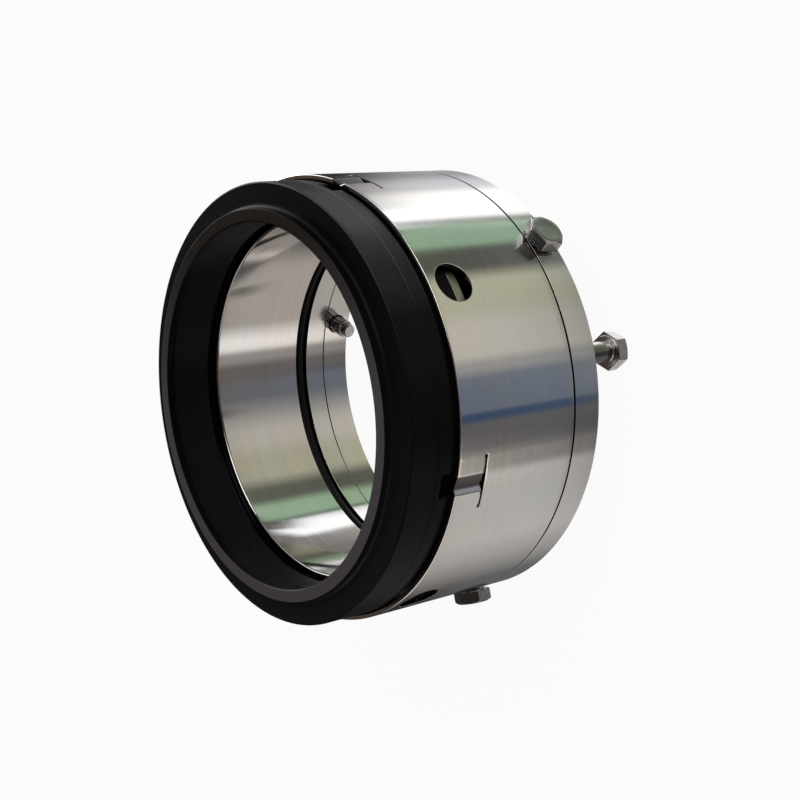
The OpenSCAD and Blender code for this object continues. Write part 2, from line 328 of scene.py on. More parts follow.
def along_x(turn, height):
    """The place of a part whose Z axis points outwards at this turn and height."""
    return turn @ Matrix.Translation((0, 0, height)) @ Matrix.Rotation(math.pi / 2, 4, "Y")


def joined(pieces, name):
    """Several mesh objects made into one."""
    work = bmesh.new()
    for piece in pieces:
        work.from_mesh(piece.data)
    mesh = bpy.data.meshes.new(name)
    work.to_mesh(mesh)
    work.free()
    for piece in pieces:
        bpy.data.objects.remove(piece)
    whole = bpy.data.objects.new(name, mesh)
    bpy.context.scene.collection.objects.link(whole)
    return whole


def keep_shape(piece):
    """Makes the modifiers' result the piece's own mesh."""
    graph = bpy.context.evaluated_depsgraph_get()
    mesh = bpy.data.meshes.new_from_object(piece.evaluated_get(graph))
    piece.modifiers.clear()
    piece.data = mesh


def cut(piece, cutters):
    """Takes the cutters' space out of the piece."""
    for cutter in cutters:
        change = piece.modifiers.new("cut", "BOOLEAN")
        change.operation = "DIFFERENCE"
        change.solver = "EXACT"
        change.object = cutter
        keep_shape(piece)
        bpy.data.objects.remove(cutter)


def shade(piece, sharp=32):
    """Smooth shading that keeps flats flat and leaves edges over the sharp angle crisp."""
    piece.data.shade_smooth()
    piece.data.set_sharp_from_angle(angle=math.radians(sharp))
    change = piece.modifiers.new("normals", "WEIGHTED_NORMAL")
    change.keep_sharp = True
    change.weight = 50


# Turned rings

def holes(radius, start, end, count, first):
    """Rods at equal angles round the part, which cut holes along its axis."""
    outwards = Matrix.Translation((CHAMBER_R, 0, 0))
    return [rod(radius, start, end, turn @ outwards) for turn in around(count, first)]


def make_drive_ring():
    """The rear ring, with a narrow relief at the joint that shows as a dark line."""
    piece = turned("drive_ring_turned", rounded([
        (DRIVE_BORE_R, DRIVE_BACK, 0.3),
        (SHELL_R, DRIVE_BACK, 0.5),
        (SHELL_R, -JOINT_GAP, 0.1),
        (SHELL_R - JOINT_DEPTH, -JOINT_GAP, 0),
        (SHELL_R - JOINT_DEPTH, 0, 0),
        (DRIVE_BORE_R + JOINT_DEPTH, 0, 0),
        (DRIVE_BORE_R + JOINT_DEPTH, -JOINT_GAP, 0),
        (DRIVE_BORE_R, -JOINT_GAP, 0.1),
    ]))
    across = (DRIVE_BORE_R - 2 * REACH, SHELL_R + 2 * REACH)
    cutters = [rod(HOLE_R, *across, along_x(turn, SET_Z)) for turn in around(THIRDS, SET_A)]
    cutters += holes(HOLE_R, DRIVE_BACK - REACH, REACH, THIRDS, AXIAL_A)
    cutters += holes(PIN_HOLE_R, -PIN_DEPTH, REACH, THIRDS, PIN_A)
    cut(piece, [joined(cutters, "cutters")])
    return piece


def make_housing():
    """The inner sleeve with the spring bed, its spring pockets and the O-ring's groove."""
    joint = 0.22
    piece = turned("housing_turned", rounded([
        (BORE_R, 0, joint),
        (BED_R, 0, joint),
        (BED_R, BED_TOP, joint),
        (SLEEVE_R, BED_TOP, 0.4),
        (SLEEVE_R, SLEEVE_TOP, joint),
        (BORE_R, SLEEVE_TOP, 0.9),
        (BORE_R, GROOVE_HIGH, 0.15),
        (GROOVE_R, GROOVE_HIGH, 0.3),
        (GROOVE_R, GROOVE_LOW, 0.3),
        (BORE_R, GROOVE_LOW, 0.15),
    ]))
    cutters = holes(POCKET_R, POCKET_Z, BED_TOP + REACH, SPRINGS, SPRING_A)
    cutters += holes(HOLE_R, -REACH, AXIAL_HOLE_TOP, THIRDS, AXIAL_A)
    cutters += holes(PIN_HOLE_R, -REACH, PIN_DEPTH, THIRDS, PIN_A)
    cut(piece, [joined(cutters, "cutters")])
    return piece


def make_face_ring():
    """The black ring, with a fine tool mark round its edge and the four drive notches."""
    mark, cove = 0.16, 1.8
    piece = turned("face_ring_lapped", rounded([
        (SEAT_R, FACE_BACK, 0.2),
        (TAIL_R, FACE_BACK, 0.5),
        (TAIL_R, STEP_Z, 0.2),
        (FACE_R, STEP_Z, 0.25),
        (FACE_R, MARK_Z - mark, 0),
        (FACE_R - mark, MARK_Z, 0),
        (FACE_R, MARK_Z + mark, 0),
        (FACE_R, SHOULDER_Z - 0.5, 0.4),
        (FACE_R - 0.5, SHOULDER_Z, 0.4),
        (NOSE_R, SHOULDER_Z, cove),
        (NOSE_R, NOSE_TOP, 0.22),
        (NOSE_IN + 0.45, NOSE_TOP, 0.1),
        (NOSE_IN, NOSE_TOP - 0.45, 0.1),
        (NOSE_IN, NOSE_STEP_Z, 0.3),
        (WAIST_R, WAIST_TOP, 0.4),
        (WAIST_R, WAIST_Z, 0.5),
        (OVER_SLEEVE, WAIST_Z, 0.2),
        (OVER_SLEEVE, SEAT_TOP, 0.2),
        (SEAT_R, SEAT_TOP, 0.3),
    ]))
    cutter_z = NOTCH_Z - math.sqrt(CUTTER_R ** 2 - (NOTCH_FLOOR + CUTTER_R - FACE_R) ** 2)
    cutter_x = NOTCH_FLOOR + CUTTER_R
    lows = (NOTCH_FLOOR, -NOTCH_W / 2, FACE_BACK - REACH)
    highs = (FACE_R + REACH, NOTCH_W / 2, cutter_z)
    across = Matrix.Translation((cutter_x, 0, cutter_z)) @ Matrix.Rotation(math.pi / 2, 4, "X")
    turns = around(QUARTERS, LUG_A)
    cut(piece, [block(lows, highs, turn) for turn in turns])
    cut(piece, [rod(CUTTER_R, -NOTCH_W / 2, NOTCH_W / 2, turn @ across) for turn in turns])
    return piece


def make_rubber_ring(name, outer, height, thickness):
    """A moulded ring with the fine flash line that its mould leaves."""
    centre = outer - thickness / 2
    section = circle(centre, height, thickness / 2, 40)
    flash = 0.06
    for point in section:
        if abs(point.y - height) < flash:
            point.x -= flash * (1 if point.x > centre else -1)
    return turned(name, section, COLUMNS // 2)


# Shell

def press(place):
    """Depth share of a pressed lug across its width, where -1 and 1 are its borders."""
    for (start, low_share), (end, high_share) in zip(LUG_SECTION, LUG_SECTION[1:]):
        if start <= place < end:
            return low_share + (high_share - low_share) * (place - start) / (end - start)
    return 0


def spread(stops):
    """Places between the stops (place, step after it), evenly spaced inside each span."""
    places = []
    for (start, step), (end, _) in zip(stops, stops[1:]):
        count = max(1, round((end - start) / step))
        places += [start + (end - start) * i / count for i in range(count)]
    return places


def slit_half(offset):
    """Half the slit's width at an angle from its middle, with the drilled ends."""
    half = (SLIT_HIGH - SLIT_LOW) / 2
    run = math.radians(abs(offset) - SLIT_A) * SHELL_R
    if abs(run) >= SLIT_END_R:
        return half
    return max(math.sqrt(SLIT_END_R ** 2 - run ** 2), half if run < 0 else SLIT_TIP)


def from_middle(angle, first):
    """Angle from the nearest of the quarter features, in degrees."""
    quarter = 360 / QUARTERS
    return (angle - first + quarter / 2) % quarter - quarter / 2


def sheet_point(angle, z, inside):
    """A point of the shell's outer or inner surface, pressed in where a lug is."""
    radius = SHELL_IN if inside else SHELL_R
    offset = math.radians(from_middle(angle, LUG_A)) * SHELL_R
    border = LUG_HALF + (LUG_FLANK if inside else 0)
    if z > (SLIT_LOW + SLIT_HIGH) / 2:
        radius -= LUG_DEPTH * press(offset / border)
    into = z - (SHELL_TOP - RIM_ROUND)
    if into > 0:
        radius += (RIM_ROUND - math.sqrt(max(0, RIM_ROUND ** 2 - into ** 2))) * (1 if inside else -1)
    turn = math.radians(angle)
    return (radius * math.cos(turn), radius * math.sin(turn), z)


def shell_columns():
    """Angles of the sheet's columns over the whole turn, finer at the windows and lugs."""
    zone = math.degrees(WINDOW_ZONE / SHELL_R)
    end = math.degrees(SLIT_END_R / SHELL_R)
    lug = math.degrees((LUG_HALF + LUG_FLANK) / SHELL_R)
    quarter = 360 / QUARTERS
    stops = [
        (WINDOW_A - zone, 0.55), (WINDOW_A + zone, 1),
        (LUG_A - SLIT_A - end, 0.13), (LUG_A - SLIT_A + end, 0.5),
        (LUG_A - lug, 0.22), (LUG_A + lug, 0.5),
        (LUG_A + SLIT_A - end, 0.13), (LUG_A + SLIT_A + end, 1),
        (WINDOW_A - zone + quarter, 1),
    ]
    return [angle + quarter * k for k in range(QUARTERS) for angle in spread(stops)]


def shell_rows():
    """Heights of the sheet's rows."""
    low_edge, high_edge = WINDOW_Z - WINDOW_ZONE, WINDOW_Z + WINDOW_ZONE
    start = SHELL_TOP - RIM_ROUND
    stops = [(0, 3), (low_edge, 0.8), (SLIT_LOW, 1), (SLIT_HIGH, 0.8), (high_edge, 0.7), (start, 1)]
    arc = [start + RIM_ROUND * math.sin(math.pi / 2 * i / CORNER_STEPS) for i in range(CORNER_STEPS + 1)]
    return spread(stops) + arc


def nearest(values, target):
    """Index of the value that lies nearest to the target."""
    return min(range(len(values)), key=lambda i: abs(values[i] - target))


def window_patch(columns, rows, start, first, last, low_row, high_row):
    """Middle angle, points and faces that lead from the grid round a window to its edge."""
    count = len(columns)
    border = (
        [(c, low_row) for c in range(first, last)]
        + [(last, r) for r in range(low_row, high_row)]
        + [(c, high_row) for c in range(last, first, -1)]
        + [(first, r) for r in range(high_row, low_row, -1)]
    )
    middle = (columns[first] + columns[last]) / 2
    rings, growth = 6, 1.3
    points, faces = [], []
    for c, r in border:
        run, rise = math.radians(columns[c] - middle) * SHELL_R, rows[r] - WINDOW_Z
        size = math.hypot(run, rise)
        edge = (run / size * WINDOW_R, rise / size * WINDOW_R)
        points += [(edge, (columns[c], rows[r]), (k / rings) ** growth) for k in range(rings)]
    for i in range(len(border)):
        j = (i + 1) % len(border)
        for k in range(rings - 1):
            a, b = start + i * rings + k, start + j * rings + k
            faces.append((a, a + 1, b + 1, b))
        (c0, r0), (c1, r1) = border[i], border[j]
        a, b = start + i * rings + rings - 1, start + j * rings + rings - 1
        faces.append((a, r0 * count + c0 % count, r1 * count + c1 % count, b))
    return middle, points, faces


def patch_points(middle, patch, radius):
    """A window patch's points on the sheet's surface of the given radius."""
    points = []
    for (run, rise), (angle, z), share in patch:
        start = middle + math.degrees(math.asin(run / radius))
        turn = math.radians(start + (angle - start) * share)
        height = WINDOW_Z + rise + (z - WINDOW_Z - rise) * share
        points.append((radius * math.cos(turn), radius * math.sin(turn), height))
    return points


def sheet_grid(columns, rows, slit_row, inside):
    """Points of the sheet's outer or inner surface, with the slits' borders in place."""
    middle = (SLIT_LOW + SLIT_HIGH) / 2
    points = []
    for r, z in enumerate(rows):
        for angle in columns:
            half = slit_half(from_middle(angle, LUG_A))
            height = {slit_row: middle - half, slit_row + 1: middle + half}.get(r, z)
            points.append(sheet_point(angle, height, inside))
    return points


def grid_faces(columns, rows, slit_row, low_row, high_row):
    """Faces of the grid, left open at the slits and round the windows."""
    count = len(columns)
    zone = math.degrees(WINDOW_ZONE / SHELL_R)
    slit_reach = SLIT_A + math.degrees(SLIT_END_R / SHELL_R)
    faces = []
    for r in range(len(rows) - 1):
        for c in range(count):
            following = columns[c + 1] if c + 1 < count else columns[0] + 360
            middle = (columns[c] + following) / 2
            if low_row <= r < high_row and abs(from_middle(middle, WINDOW_A)) < zone:
                continue
            if r == slit_row and abs(from_middle(middle, LUG_A)) < slit_reach:
                continue
            d = (c + 1) % count
            faces.append((r * count + c, r * count + d, (r + 1) * count + d, (r + 1) * count + c))
    return faces


def thick_sheet(name, outer, inner, faces):
    """A closed solid between two surfaces of like faces."""
    shift = len(outer)
    edges = {(f[i], f[(i + 1) % len(f)]) for f in faces for i in range(len(f))}
    rim = [(b, a, a + shift, b + shift) for a, b in edges if (b, a) not in edges]
    back = [tuple(v + shift for v in reversed(f)) for f in faces]
    return new_piece(name, outer + inner, faces + back + sorted(rim))


def make_shell():
    """The thin outer shell: one sheet with windows, slits and pressed lugs."""
    columns, rows = shell_columns(), shell_rows()
    zone = math.degrees(WINDOW_ZONE / SHELL_R)
    low_row, high_row = (nearest(rows, WINDOW_Z + side * WINDOW_ZONE) for side in (-1, 1))
    slit_row = nearest(rows, SLIT_LOW)
    outer = sheet_grid(columns, rows, slit_row, False)
    inner = sheet_grid(columns, rows, slit_row, True)
    faces = grid_faces(columns, rows, slit_row, low_row, high_row)
    for k in range(QUARTERS):
        angle = WINDOW_A + 360 / QUARTERS * k
        first, last = nearest(columns, angle - zone), nearest(columns, angle + zone)
        middle, patch, patch_faces = window_patch(
            columns, rows, len(outer), first, last, low_row, high_row)
        outer += patch_points(middle, patch, SHELL_R)
        inner += patch_points(middle, patch, SHELL_IN)
        faces += patch_faces
    piece = thick_sheet("shell_sheet", outer, inner, faces)
    edge = piece.modifiers.new("edges", "BEVEL")
    edge.limit_method = "ANGLE"
    edge.angle_limit = math.radians(50)
    edge.width = SHELL_EDGE * MM
    edge.segments = 2
    keep_shape(piece)
    return piece


# Screws

def hexagon(turn):
    """Outline of the head, with slightly rounded corners, as points of equal number per side."""
    corner_r = HEAD_AF / math.sqrt(3)
    corners = [(corner_r * math.cos(a), corner_r * math.sin(a), 0.35)
               for a in (math.radians(turn) + FULL * i / 6 for i in range(6))]
    arcs = rounded(corners)
    outline, flats = [], 8
    for i, point in enumerate(arcs):
        following = arcs[(i + 1) % len(arcs)]
        outline.append(point)
        if i % (CORNER_STEPS + 1) == CORNER_STEPS:
            outline += [point.lerp(following, k / flats) for k in range(1, flats)]
    return outline


def head_rings(turn):
    """Rings of points over the head, from the shank's root to the middle of the top."""
    outline = hexagon(turn)
    washer_r, washer_h = 5.85, 0.35

    def level(radius, z):
        """A round ring at one height."""
        return [(*(p.normalized() * radius), z) for p in outline]

    def cone(p, drop):
        """Height of the chamfer's cone over a point of the outline."""
        return HEAD_H - drop - max(0, (p.length - HEAD_FLAT) * math.tan(HEAD_SLOPE))

    lift = 0.25
    return [
        level(SCREW_R - 0.6, -0.4), level(SCREW_R, 0),
        level(washer_r - 0.1, 0), level(washer_r, 0.1), level(washer_r, washer_h),
        [(*(p * 0.985), washer_h) for p in outline],
        [(*p, washer_h + 0.15) for p in outline],
        [(*p, cone(p, lift)) for p in outline],
        [(*(p * 0.985), cone(p * 0.985, 0.05)) for p in outline],
        level(HEAD_FLAT + 0.15, HEAD_H - 0.15), level(HEAD_FLAT - 0.2, HEAD_H),
        level(HEAD_FLAT * 0.72, HEAD_H), level(HEAD_FLAT * 0.68, HEAD_H - 0.08),
        level(HEAD_FLAT * 0.3, HEAD_H - 0.1), level(0, HEAD_H - 0.1),
    ]


def skin(name, rings, place):
    """A surface over rings of equally many points, closed at both ends."""
    size = len(rings[0])
    points = [p for ring in rings for p in ring]
    faces = []
    for k in range(len(rings) - 1):
        for i in range(size):
            j = (i + 1) % size
            faces.append((k * size + i, k * size + j, (k + 1) * size + j, (k + 1) * size + i))
    faces.append(tuple(reversed(range(size))))
    return new_piece(name, points, faces, place)


def thread(start, end, place):
    """A threaded rod along Z with chamfered ends."""
    steps = 48
    profile = [(0, CREST_R), (0.16, CREST_R), (0.5, ROOT_R), (0.66, ROOT_R), (1, CREST_R)]
    turns = math.ceil((end - start) / PITCH) + 1
    points, faces = [], []
    for i in range(-steps, turns * steps + 1):
        angle = FULL * i / steps
        for share, radius in profile:
            raw = start + PITCH * (i / steps + share)
            z = min(max(raw, start), end)
            limit = ROOT_R - 0.2 + min(raw - start, end - raw)
            r = max(min(radius, limit), ROOT_R - 0.2)
            points.append((r * math.cos(angle), r * math.sin(angle), z))
    size = len(profile)
    for i in range((turns + 1) * steps):
        for j in range(size - 1):
            a = i * size + j
            faces.append((a, a + size, a + size + 1, a + 1))
    piece = new_piece("thread", points, faces, place)
    work = bmesh.new()
    work.from_mesh(piece.data)
    bmesh.ops.holes_fill(work, edges=[e for e in work.edges if e.is_boundary])
    bmesh.ops.recalc_face_normals(work, faces=work.faces)
    work.to_mesh(piece.data)
    work.free()
    return piece


def make_set_screw(name, turn, head_turn):
    """A set screw with its hex head outside, a thread, a plain end and a point."""
    place = along_x(turn, SET_Z) @ Matrix.Translation((0, 0, SET_SEAT_R))
    plain_low = POINT_H - SET_LEN
    plain_high = plain_low + PLAIN_LEN
    overlap, edge = 0.5, 0.35
    plain = rounded([
        (0, plain_low, 0), (PLAIN_R, plain_low, 0.6), (PLAIN_R, plain_high, 0), (0, plain_high, 0)])
    tip = [Vector(p) for p in (
        (0, -SET_LEN), (POINT_R - edge, -SET_LEN), (POINT_R, -SET_LEN + edge),
        (POINT_R, plain_low + overlap), (0, plain_low + overlap))]
    parts = [
        skin("head", head_rings(head_turn), place),
        thread(plain_high - overlap, -0.1, place),
        turned("plain", plain, ROD_SIDES, place),
        turned("point", tip, ROD_SIDES, place),
    ]
    return joined(parts, name)


def make_axial_screw(name, turn):
    """An axial screw: its hex head and plain shank behind the rear ring, its thread inside."""
    turned_over = Matrix.Rotation(math.pi, 4, "X")
    place = turn @ Matrix.Translation((CHAMBER_R, 0, AXIAL_SEAT_Z)) @ turned_over
    shank_r, edge = SCREW_R - 0.05, 0.45
    shank = [Vector(p) for p in (
        (0, -AXIAL_PLAIN), (shank_r - edge, -AXIAL_PLAIN), (shank_r, -AXIAL_PLAIN + edge),
        (shank_r, -0.5), (SCREW_R + 0.25, 0.02), (0, 0.02))]
    parts = [
        skin("head", head_rings(AXIAL_TURN), place),
        turned("shank", shank, ROD_SIDES, place),
        thread(-AXIAL_LEN, -AXIAL_PLAIN + 0.4, place),
    ]
    return joined(parts, name)


# Springs

def make_spring(name, turn):
    """A coil spring with closed turns, ground flat at both ends."""
    steps, sides = 40, 12
    height = SPRING_HIGH - SPRING_LOW
    closed = 1 / COIL_TURNS
    slope = 2 * WIRE_R / (height - 2 * WIRE_R)

    def rise(t):
        """Share of the height at a share of the wire, flat over the closed turns."""
        if t < closed:
            return slope * t / closed
        if t > 1 - closed:
            return 1 - slope * (1 - t) / closed
        return slope + (1 - 2 * slope) * (t - closed) / (1 - 2 * closed)

    rings = []
    for i in range(COIL_TURNS * steps + 1):
        t = i / (COIL_TURNS * steps)
        angle = FULL * COIL_TURNS * t
        middle = WIRE_R + (height - 2 * WIRE_R) * rise(t)
        ring = []
        for s in range(sides):
            side = FULL * s / sides
            r = COIL_R - WIRE_R + WIRE_R * math.cos(side)
            ring.append((r * math.cos(angle), r * math.sin(angle), middle + WIRE_R * math.sin(side)))
        rings.append(ring)
    points = [p for ring in rings for p in ring]
    faces = [tuple(range(sides)), tuple(reversed(range(len(points) - sides, len(points))))]
    for k in range(len(rings) - 1):
        here, there = k * sides, (k + 1) * sides
        for i in range(sides):
            j = (i + 1) % sides
            faces.append((here + i, there + i, there + j, here + j))
    return new_piece(name, points, faces, turn @ Matrix.Translation((CHAMBER_R, 0, SPRING_LOW)))


# Materials

class Nodes:
    """Short calls for the nodes of a material or of the world."""

    def __init__(self, owner):
        """Starts from the owner's own nodes."""
        owner.use_nodes = True
        self.nodes = owner.node_tree.nodes
        self.links = owner.node_tree.links

    def add(self, kind):
        """A new node."""
        return self.nodes.new("ShaderNode" + kind)

    def put(self, source, target):
        """Sets or links an input."""
        if isinstance(source, bpy.types.NodeSocket):
            self.links.new(source, target)
        else:
            target.default_value = source

    def put_all(self, sources, targets):
        """Sets or links the first inputs."""
        for source, target in zip(sources, targets):
            self.put(source, target)

    def math(self, operation, *values):
        """Result of one operation on numbers."""
        node = self.add("Math")
        node.operation = operation
        self.put_all(values, node.inputs)
        return node.outputs[0]

    def times(self, first, *others):
        """Product of several values."""
        for value in others:
            first = self.math("MULTIPLY", first, value)
        return first

    def weigh(self, first, share, second):
        """Weighted mean of two values."""
        return self.math("ADD", self.times(first, share), self.times(second, 1 - share))

    def split(self, vector):
        """The three parts of a vector."""
        node = self.add("SeparateXYZ")
        self.put(vector, node.inputs[0])
        return node.outputs

    def span(self, value, from_low, from_high, to_low=0, to_high=1):
        """Maps a range of values onto another, and clamps it."""
        node = self.add("MapRange")
        self.put_all((value, from_low, from_high, to_low, to_high), node.inputs)
        return node.outputs[0]

    def mix(self, share, low_colour, high_colour, kind="MIX"):
        """Blend of two colours, each a plain one or a socket."""
        node = self.add("Mix")
        node.data_type = "RGBA"
        node.blend_type = kind
        self.put(share, node.inputs[0])
        for colour, target in ((low_colour, node.inputs[6]), (high_colour, node.inputs[7])):
            self.put(colour if isinstance(colour, bpy.types.NodeSocket) else (*colour, 1), target)
        return node.outputs[2]


class Tree(Nodes):
    """A Principled material, in the piece's own coordinates."""

    def __init__(self, name):
        """A new material of this name."""
        self.material = bpy.data.materials.new(name)
        super().__init__(self.material)
        self.shader = self.nodes["Principled BSDF"]
        self.place = self.add("TexCoord").outputs["Object"]

    def radius(self):
        """Distance from the Z axis."""
        x, y, _ = self.split(self.place)
        return self.math("SQRT", self.math("ADD", self.times(x, x), self.times(y, y)))

    def noise(self, vector, scale, detail=3, rough=0.5):
        """Cloudy noise."""
        node = self.add("TexNoise")
        self.put(vector, node.inputs["Vector"])
        node.inputs["Scale"].default_value = scale
        node.inputs["Detail"].default_value = detail
        node.inputs["Roughness"].default_value = rough
        return node.outputs["Fac"]

    def over(self, value, limit):
        """1 above the limit and 0 below it, with a hair's breadth between."""
        hair = 0.00005
        return self.span(value, limit - hair, limit + hair)

    def bump(self, height, strength, distance):
        """Fine relief on the surface."""
        node = self.add("Bump")
        node.inputs["Strength"].default_value = strength
        node.inputs["Distance"].default_value = distance
        self.put(height, node.inputs["Height"])
        self.put(node.outputs[0], self.shader.inputs["Normal"])

    def set(self, **values):
        """Sets or links the shader's inputs by name."""
        for name, value in values.items():
            self.put(value, self.shader.inputs[name.replace("_", " ")])


def turning_lines(tree, around_scale, across_scale, detail=4):
    """Noise drawn out along the circumference, as a lathe or a belt leaves it."""
    x, y, z = tree.split(tree.place)
    across = tree.math("ADD", z, tree.radius())
    vector = tree.add("CombineXYZ")
    parts = (tree.times(x, around_scale), tree.times(y, around_scale), tree.times(across, across_scale))
    tree.put_all(parts, vector.inputs)
    return tree.noise(vector.outputs[0], 1, detail, 0.6)


def from_lug(tree):
    """Angle from the middle of the nearest lug."""
    x, y, _ = tree.split(tree.place)
    quarter = math.radians(360 / QUARTERS)
    turn = tree.math("ADD", tree.math("ARCTAN2", y, x), FULL + quarter / 2 - math.radians(LUG_A))
    return tree.math("SUBTRACT", tree.math("MODULO", turn, quarter), quarter / 2)


def shaded_window_wall(tree):
    """Share of the painted shade on the cut walls of the shell's windows."""
    z = tree.split(tree.place)[2]
    radius = tree.radius()
    away = tree.over(tree.math("ABSOLUTE", from_lug(tree)), AWAY_FROM_LUG)
    inside = tree.math("SUBTRACT", 1, tree.over(radius, (SHELL_R - 0.12) * MM))
    outside = tree.over(radius, (SHELL_IN + 0.1) * MM)
    at_window = tree.math("SUBTRACT", tree.over(z, (WINDOW_Z - WINDOW_ZONE) * MM),
                          tree.over(z, (WINDOW_Z + WINDOW_ZONE) * MM))
    return tree.times(away, inside, outside, at_window)


def shaded_lug_flank(tree):
    """Share of the painted shade that darkens one flank of each lug."""
    z = tree.split(tree.place)[2]
    run = tree.times(from_lug(tree), SHELL_R / LUG_HALF)
    rise = tree.span(run, -0.5, -0.38)
    slope = tree.span(run, -0.3, 0.85, 1, 0.9)
    fall = tree.span(run, 0.93, 1, 1, 0)
    over_slit = tree.over(z, SLIT_HIGH * MM)
    return tree.times(rise, slope, fall, over_slit, tree.over(tree.radius(), LUG_ZONE_R * MM))


def turned_steel(name, colours, smooth, rough):
    """Satin turned stainless steel, its highlights drawn out along the axis, with painted shade in the
    joint's relief, on one flank of each lug and on the windows' cut walls.
    """
    tree = Tree(name)
    lines = tree.weigh(turning_lines(tree, 14, 4200), 0.6, turning_lines(tree, 6, 700))
    worn = tree.weigh(lines, 0.6, tree.noise(tree.place, 28, 4))
    bare = tree.mix(tree.span(worn, 0.35, 0.65), *colours)
    tint = tree.mix(tree.span(tree.noise(tree.place, 34, 2), 0.35, 0.65), TINT_WARM, TINT_COOL)
    # Painted shade on one flank of each lug
    with_painted_shade = tree.mix(shaded_lug_flank(tree), tree.mix(1, bare, tint, "MULTIPLY"), LUG_FLANK_SHADE)
    # Painted shade on the windows' cut walls
    with_painted_shade = tree.mix(shaded_window_wall(tree), with_painted_shade, WINDOW_WALL_SHADE)
    z = tree.split(tree.place)[2]
    # Painted shade: the steel is darkened inside the joint's relief, where shade falls
    from_joint = tree.math("ABSOLUTE", tree.math("ADD", z, JOINT_GAP / 2 * MM))
    joint_shade = tree.span(from_joint, JOINT_GAP * 0.42 * MM, JOINT_GAP * 0.55 * MM, 1, 0)
    tree.set(
        Metallic=1.0,
        Base_Color=tree.mix(joint_shade, with_painted_shade, JOINT_PAINTED_SHADE),
        Roughness=tree.span(worn, 0.3, 0.7, smooth, rough),
        Anisotropic=1.0,
        Anisotropic_Rotation=0.25)
    tangent = tree.add("Tangent")
    tangent.direction_type = "RADIAL"
    tangent.axis = "Z"
    tree.put(tangent.outputs[0], tree.shader.inputs["Tangent"])
    tree.bump(lines, 0.25, 0.00001)
    return tree.material


def ring_outside(tree, worn):
    """Colour of the ring's outside: a painted sheen towards the top, with a painted highlight on its tool
    mark.
    """
    _, y, z = tree.split(tree.place)
    left_bare, sheened = tree.mix(worn, *RING_OUTSIDE_BARE), tree.mix(worn, *RING_TOP_SHEEN)
    # Painted sheen: the outside is lighter towards the top
    outside = tree.mix(tree.span(y, *TOP_SHEEN_Y), left_bare, sheened)
    from_mark = tree.math("ABSOLUTE", tree.math("SUBTRACT", z, (MARK_Z + 0.08) * MM))
    # Painted highlight along the tool mark near the top
    lit_mark = tree.times(tree.span(from_mark, 0.1 * MM, 0.2 * MM, 1, 0), tree.span(y, *MARK_Y))
    return tree.mix(lit_mark, outside, MARK_SHINE)


def ring_colour(tree, worn):
    """Colour of the ring, zone by zone from the nose's wall outwards, then its lapped face, with painted
    shade on the shoulder's top and a painted sheen on the outside's top and on the face's lower part.
    """
    _, y, z = tree.split(tree.place)
    radius = tree.radius()
    zones = (
        (NOSE_IN + 0.4, tree.mix(worn, *RING_WAIST)),
        (WAIST_R + 0.6, RING_SEAT),
        # Painted shade: the shoulder darkens towards the top
        (NOSE_R - 0.4, tree.mix(tree.span(y, *SHOULDER_SHADE_Y, 1, 0), *RING_SHOULDER)),
        (FACE_R - 0.6, ring_outside(tree, worn)),
    )
    colour = RING_NOSE_WALL
    for start, zone_colour in zones:
        colour = tree.mix(tree.over(radius, start * MM), colour, zone_colour)
    # Painted sheen: the nose face is lighter towards the bottom
    face = tree.mix(tree.span(y, *FACE_SHEEN_Y, 1, 0), *RING_FACE)
    return tree.mix(tree.over(z, (NOSE_TOP - 0.2) * MM), colour, face)


def black_carbide():
    """Near-black ring with tool lines, painted sheen and shade, a lapped nose face and a dull, dusty
    inside.
    """
    tree = Tree("black_carbide")
    lines = turning_lines(tree, 8, 1800)
    worn = tree.weigh(tree.noise(tree.place, 45, 5, 0.6), 0.5, lines)
    colour = ring_colour(tree, tree.span(worn, 0.35, 0.65))
    left_bare = tree.span(tree.noise(tree.place, 620, 3, 0.6), 0.735, 0.76, 1, 0)
    outside = tree.over(tree.radius(), (NOSE_R - 0.4) * MM)
    dust = tree.math("SUBTRACT", 1, tree.math("MAXIMUM", left_bare, outside))
    tree.set(
        Base_Color=tree.mix(dust, colour, RING_DUST),
        Roughness=tree.span(worn, 0.3, 0.7, 0.22, 0.3),
        Specular_IOR_Level=0.055)
    grain = tree.times(tree.noise(tree.place, 2600, 2), 0.6)
    tree.bump(tree.math("ADD", lines, grain), 0.4, 0.00001)
    return tree.material


def black_rubber():
    """Moulded rubber with a soft bloom."""
    tree = Tree("black_rubber")
    cloud = tree.noise(tree.place, 120, 5, 0.6)
    dust = tree.span(tree.noise(tree.place, 600, 5, 0.7), 0.72, 0.8)
    bloom = tree.mix(tree.span(cloud, 0.4, 0.7), *RUBBER)
    tree.set(
        Base_Color=tree.mix(dust, bloom, RUBBER_DUST),
        Roughness=tree.span(cloud, 0.3, 0.7, 0.38, 0.55),
        Specular_IOR_Level=0.2)
    tree.bump(tree.noise(tree.place, 1800, 3), 0.3, 0.00002)
    return tree.material


def screw_steel(name, colours, shank_z=None):
    """Stainless screw steel with handling marks; its shank over shank_z is darkened with painted shade,
    all but its lit top.
    """
    tree = Tree(name)
    worn = tree.weigh(tree.noise(tree.place, 260, 5, 0.6), 0.6, tree.noise(tree.place, 700, 2))
    colour = tree.mix(tree.span(worn, 0.35, 0.65), *colours)
    if shank_z is not None:
        _, y, z = tree.split(tree.place)
        # Painted shade on the shank, left off its lit top
        shank_shade = tree.times(tree.over(z, shank_z), tree.span(y, *SHANK_SHADE_Y, 1, 0))
        colour = tree.mix(shank_shade, colour, SHANK_SHADE)
    tree.set(
        Metallic=1.0,
        Base_Color=colour,
        Roughness=tree.span(worn, 0.3, 0.7, 0.27, 0.18))
    tree.bump(tree.noise(tree.place, 1500, 4, 0.65), 0.15, 0.00002)
    return tree.material


